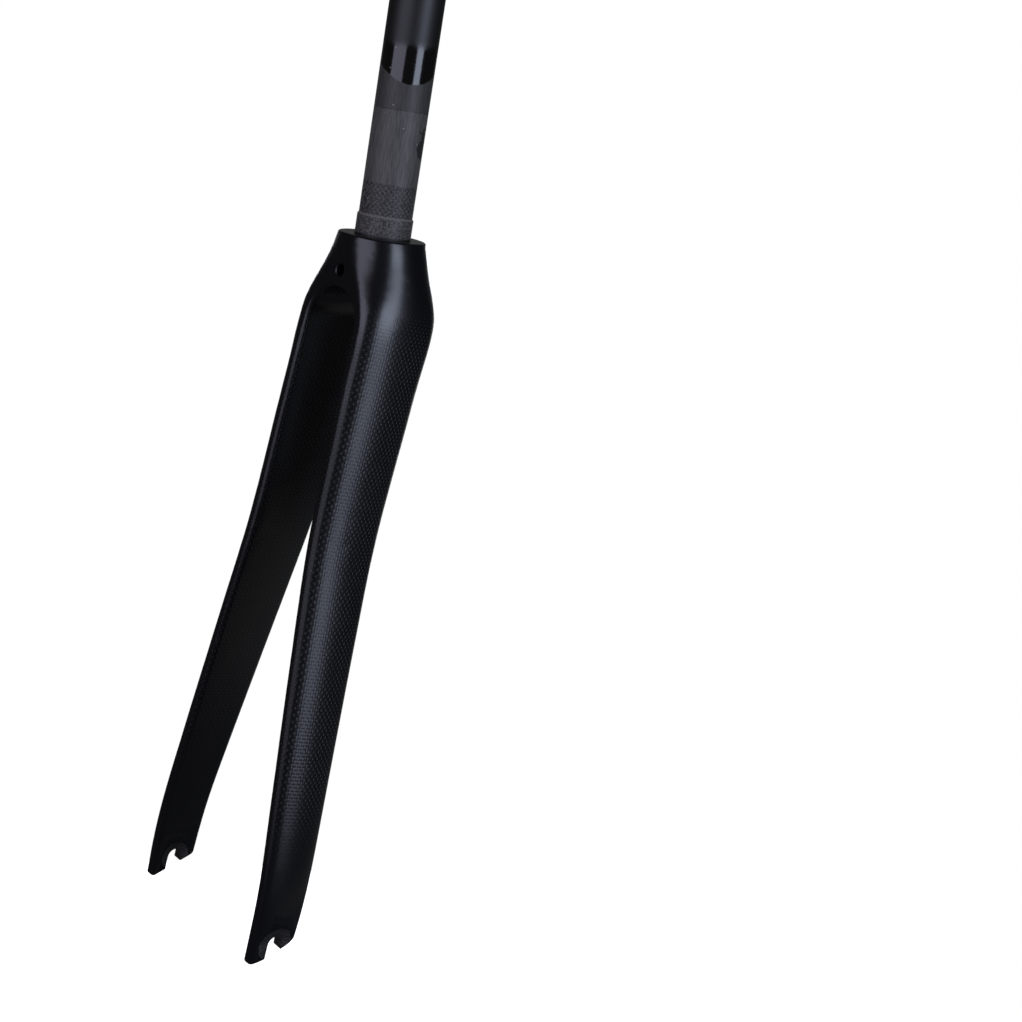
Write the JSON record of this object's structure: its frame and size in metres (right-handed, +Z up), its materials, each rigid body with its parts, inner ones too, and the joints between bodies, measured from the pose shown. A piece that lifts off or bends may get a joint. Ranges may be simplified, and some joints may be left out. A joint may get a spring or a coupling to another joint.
{
  "type": "rigid bicycle fork",
  "caption": "Moulded carbon bicycle fork with a straight steerer tube, a rounded crown pierced for a brake, and flattened blades that end in open axle slots.",
  "frame": {"origin": "on the steerer axis, in the crown's top face where the headset race seats", "axes": "+Z up the steerer axis, -Y forward to the wheel, +X to the rider's left"},
  "size_m": [0.1184, 0.0877, 0.6902],
  "materials": {
    "carbon": "satin black lacquer over carbon weave, with bare carbon on the steerer tube and the axle seats"
  },
  "bodies": {
    "root": {"fork": "carbon"}
  },
  "joints": []
}
